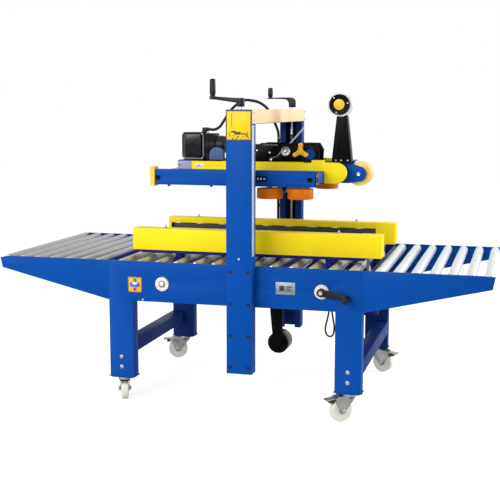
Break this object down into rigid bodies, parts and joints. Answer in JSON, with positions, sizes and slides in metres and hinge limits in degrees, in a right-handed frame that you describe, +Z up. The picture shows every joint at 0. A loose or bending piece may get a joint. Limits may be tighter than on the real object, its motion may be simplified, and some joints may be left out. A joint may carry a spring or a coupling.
{
  "type": "carton sealer machine",
  "caption": "Carton sealing machine: a roller bed on braked casters with side belts moved by a hand crank, and a tape head that two cranked screws raise between columns.",
  "frame": {"origin": "on the floor under the middle of the roller bed", "axes": "+X along the bed towards the infeed end, +Y away from the operator's side, +Z up"},
  "size_m": [2.212, 1.046, 1.4415],
  "materials": {
    "blue_paint": "semi-gloss powder coat",
    "navy_paint": "semi-gloss powder coat",
    "yellow_paint": "satin powder coat",
    "cream_paint": "satin powder coat",
    "black_paint": "semi-gloss black coat",
    "bolt_steel": "blackened and zinc-plated bolts",
    "plate_print": "printed plates",
    "roller_steel": "zinc-plated, satin",
    "screw_steel": "turned steel",
    "zinc": "zinc-plated pressed steel",
    "cable_rubber": "matte corrugated sheath",
    "belt_rubber": "matte belt",
    "orange_pu": "cast polyurethane, satin",
    "yellow_plastic": "moulded",
    "green_plastic": "moulded",
    "red_plastic": "moulded",
    "black_plastic": "moulded",
    "tape": "wound tape",
    "nylon": "moulded nylon"
  },
  "bodies": {
    "frame": {"near_side_frame": "blue_paint", "far_side_frame": "blue_paint", "wing_panels": "blue_paint", "cross_members": "blue_paint", "near_column": "blue_paint", "far_column": "blue_paint", "crossbeam": "blue_paint", "beam_cover": "cream_paint", "frame_bolts": "bolt_steel", "panel_plates": "plate_print", "wing_rollers": "roller_steel", "bed_rollers": "roller_steel", "lower_tape_unit": "black_paint", "frame_wiring": "cable_rubber", "loop_lead": "cable_rubber"},
    "head": {"head_conduit": "cable_rubber", "head_frame": "blue_paint", "top_belt_units": "yellow_paint", "tape_cartridge": "black_paint", "drive_motor": "black_paint", "reel_mast": "black_paint", "infeed_bracket": "blue_paint"},
    "cartridge_arm": {"cartridge_arm": "black_paint"},
    "width_knob": {"width_knob": "yellow_plastic"},
    "tape_reel": {"tape_reel": "tape"},
    "lower_tape_reel": {"lower_tape_reel": "tape"},
    "infeed_wheel": {"infeed_wheel": "orange_pu"},
    "near_press_roller_left": {"near_press_roller_left": "orange_pu"},
    "near_press_roller_right": {"near_press_roller_right": "orange_pu"},
    "far_press_roller_left": {"far_press_roller_left": "orange_pu"},
    "far_press_roller_right": {"far_press_roller_right": "orange_pu"},
    "near_lift_screw": {"near_lift_screw": "screw_steel"},
    "near_crank_grip": {"near_crank_grip": "black_plastic"},
    "far_lift_screw": {"far_lift_screw": "screw_steel"},
    "far_crank_grip": {"far_crank_grip": "black_plastic"},
    "side_crank": {"side_crank": "screw_steel"},
    "side_crank_grip": {"side_crank_grip": "black_plastic"},
    "left_side_screw": {"left_side_screw": "screw_steel"},
    "start_button": {"start_button": "green_plastic"},
    "stop_button": {"stop_button": "red_plastic"},
    "near_unit": {"near_unit_frame": "navy_paint", "near_unit_cover": "yellow_paint", "near_belt": "belt_rubber"},
    "near_drive_pulley": {"near_drive_pulley": "screw_steel"},
    "far_unit": {"far_unit_frame": "navy_paint", "far_unit_cover": "yellow_paint", "far_belt": "belt_rubber"},
    "far_drive_pulley": {"far_drive_pulley": "screw_steel"},
    "caster_fork_1": {"caster_fork_1": "zinc"},
    "caster_wheel_1": {"caster_wheel_1": "nylon"},
    "caster_pedal_1": {"caster_pedal_1": "zinc"},
    "caster_fork_2": {"caster_fork_2": "zinc"},
    "caster_wheel_2": {"caster_wheel_2": "nylon"},
    "caster_pedal_2": {"caster_pedal_2": "zinc"},
    "caster_fork_3": {"caster_fork_3": "zinc"},
    "caster_wheel_3": {"caster_wheel_3": "nylon"},
    "caster_pedal_3": {"caster_pedal_3": "zinc"},
    "caster_fork_4": {"caster_fork_4": "zinc"},
    "caster_wheel_4": {"caster_wheel_4": "nylon"},
    "caster_pedal_4": {"caster_pedal_4": "zinc"}
  },
  "joints": [
    {"name": "near_crank_turn", "type": "hinge", "parent": "frame", "child": "near_lift_screw", "pos_m": [0.053, -0.4775, 1.32], "axis": [0, 0, -1], "range_deg": [-5045, 2885]},
    {"name": "far_crank_turn", "type": "hinge", "parent": "frame", "child": "far_lift_screw", "pos_m": [0.053, 0.4775, 1.32], "axis": [0, 0, -1], "range_deg": [-5045, 2885]},
    {"name": "head_lift", "type": "slide", "parent": "frame", "child": "head", "axis": [0, 0, 1], "range_m": [-0.14, 0.08], "deforming": ["head_conduit"]},
    {"name": "near_grip_spin", "type": "hinge", "parent": "near_lift_screw", "child": "near_crank_grip", "pos_m": [-0.069, -0.4775, 1.4], "axis": [0, 0, 1], "continuous": true},
    {"name": "far_grip_spin", "type": "hinge", "parent": "far_lift_screw", "child": "far_crank_grip", "pos_m": [-0.062, 0.4775, 1.4], "axis": [0, 0, 1], "continuous": true},
    {"name": "side_crank_turn", "type": "hinge", "parent": "frame", "child": "side_crank", "pos_m": [0.397, -0.446, 0.554], "axis": [0, -1, 0], "range_deg": [-3600, 4680]},
    {"name": "left_screw_turn", "type": "hinge", "parent": "frame", "child": "left_side_screw", "pos_m": [-0.317, -0.446, 0.554], "axis": [0, -1, 0], "range_deg": [-3605, 4685]},
    {"name": "near_unit_slide", "type": "slide", "parent": "frame", "child": "near_unit", "axis": [0, 1, 0], "range_m": [-0.1005, 0.1305]},
    {"name": "far_unit_slide", "type": "slide", "parent": "frame", "child": "far_unit", "axis": [0, -1, 0], "range_m": [-0.1005, 0.1305]},
    {"name": "side_grip_spin", "type": "hinge", "parent": "side_crank", "child": "side_crank_grip", "pos_m": [0.51025, -0.5, 0.53403], "axis": [0, 1, 0], "continuous": true},
    {"name": "near_drive_spin", "type": "hinge", "parent": "near_unit", "child": "near_drive_pulley", "pos_m": [0.562, -0.234, 0.7], "axis": [0, 0, 1], "continuous": true},
    {"name": "far_drive_spin", "type": "hinge", "parent": "far_unit", "child": "far_drive_pulley", "pos_m": [0.562, 0.234, 0.7], "axis": [0, 0, 1], "continuous": true},
    {"name": "cartridge_arm_swing", "type": "hinge", "parent": "head", "child": "cartridge_arm", "pos_m": [0.216, 0, 1.05], "axis": [0, 1, 0], "range_deg": [0, 35], "stiffness_Nm_per_rad": 12, "springref_deg": -22.92},
    {"name": "width_knob_turn", "type": "hinge", "parent": "head", "child": "width_knob", "pos_m": [0.219, -0.06, 1.125], "axis": [0, 1, 0], "range_deg": [-180, 180]},
    {"name": "tape_reel_spin", "type": "hinge", "parent": "head", "child": "tape_reel", "pos_m": [0.388, 0, 1.336], "axis": [0, 1, 0], "continuous": true},
    {"name": "infeed_wheel_spin", "type": "hinge", "parent": "head", "child": "infeed_wheel", "pos_m": [0.484, 0, 1.027], "axis": [0, 1, 0], "continuous": true},
    {"name": "near_press_left_spin", "type": "hinge", "parent": "head", "child": "near_press_roller_left", "pos_m": [0.133, -0.3, 0.95], "axis": [0, 0, 1], "continuous": true},
    {"name": "near_press_right_spin", "type": "hinge", "parent": "head", "child": "near_press_roller_right", "pos_m": [0.271, -0.3, 0.95], "axis": [0, 0, 1], "continuous": true},
    {"name": "far_press_left_spin", "type": "hinge", "parent": "head", "child": "far_press_roller_left", "pos_m": [0.133, 0.3, 0.95], "axis": [0, 0, 1], "continuous": true},
    {"name": "far_press_right_spin", "type": "hinge", "parent": "head", "child": "far_press_roller_right", "pos_m": [0.271, 0.3, 0.95], "axis": [0, 0, 1], "continuous": true},
    {"name": "lower_reel_spin", "type": "hinge", "parent": "frame", "child": "lower_tape_reel", "pos_m": [0.113, 0, 0.226], "axis": [0, 1, 0], "continuous": true},
    {"name": "start_press", "type": "slide", "parent": "frame", "child": "start_button", "axis": [0, 1, 0], "range_m": [0, 0.003], "stiffness_N_per_m": 600, "springref_m": -0.002},
    {"name": "stop_press", "type": "slide", "parent": "frame", "child": "stop_button", "axis": [0, 1, 0], "range_m": [0, 0.003], "stiffness_N_per_m": 600, "springref_m": -0.002},
    {"name": "caster_swivel_1", "type": "hinge", "parent": "frame", "child": "caster_fork_1", "pos_m": [-0.513, -0.4185, 0.11], "axis": [0, 0, 1], "continuous": true},
    {"name": "caster_roll_1", "type": "hinge", "parent": "caster_fork_1", "child": "caster_wheel_1", "pos_m": [-0.52785, -0.38352, 0.05], "axis": [-0.9205, -0.3907, 0], "continuous": true},
    {"name": "brake_1", "type": "hinge", "parent": "caster_fork_1", "child": "caster_pedal_1", "pos_m": [-0.53957, -0.35591, 0.099], "axis": [-0.9205, -0.3907, 0], "range_deg": [0, 12]},
    {"name": "caster_swivel_2", "type": "hinge", "parent": "frame", "child": "caster_fork_2", "pos_m": [0.513, -0.4185, 0.11], "axis": [0, 0, 1], "continuous": true},
    {"name": "caster_roll_2", "type": "hinge", "parent": "caster_fork_2", "child": "caster_wheel_2", "pos_m": [0.48476, -0.44393, 0.05], "axis": [0.6691, -0.7431, 0], "continuous": true},
    {"name": "brake_2", "type": "hinge", "parent": "caster_fork_2", "child": "caster_pedal_2", "pos_m": [0.46247, -0.464, 0.099], "axis": [0.6691, -0.7431, 0], "range_deg": [0, 12]},
    {"name": "caster_swivel_3", "type": "hinge", "parent": "frame", "child": "caster_fork_3", "pos_m": [-0.513, 0.4185, 0.11], "axis": [0, 0, 1], "continuous": true},
    {"name": "caster_roll_3", "type": "hinge", "parent": "caster_fork_3", "child": "caster_wheel_3", "pos_m": [-0.54871, 0.4055, 0.05], "axis": [0.342, -0.9397, 0], "continuous": true},
    {"name": "brake_3", "type": "hinge", "parent": "caster_fork_3", "child": "caster_pedal_3", "pos_m": [-0.5769, 0.39524, 0.099], "axis": [0.342, -0.9397, 0], "range_deg": [0, 12]},
    {"name": "caster_swivel_4", "type": "hinge", "parent": "frame", "child": "caster_fork_4", "pos_m": [0.513, 0.4185, 0.11], "axis": [0, 0, 1], "continuous": true},
    {"name": "caster_roll_4", "type": "hinge", "parent": "caster_fork_4", "child": "caster_wheel_4", "pos_m": [0.54871, 0.4055, 0.05], "axis": [0.342, 0.9397, 0], "continuous": true},
    {"name": "brake_4", "type": "hinge", "parent": "caster_fork_4", "child": "caster_pedal_4", "pos_m": [0.5769, 0.39524, 0.099], "axis": [0.342, 0.9397, 0], "range_deg": [0, 12]}
  ],
  "couplings": [
    {"joint": "near_crank_turn", "follows": "head_lift", "rad_per_m": 628.32},
    {"joint": "far_crank_turn", "follows": "head_lift", "rad_per_m": 628.32},
    {"joint": "left_screw_turn", "follows": "side_crank_turn", "ratio": 1},
    {"joint": "near_unit_slide", "follows": "side_crank_turn", "m_per_rad": 0.0015915},
    {"joint": "far_unit_slide", "follows": "side_crank_turn", "m_per_rad": 0.0015915}
  ]
}
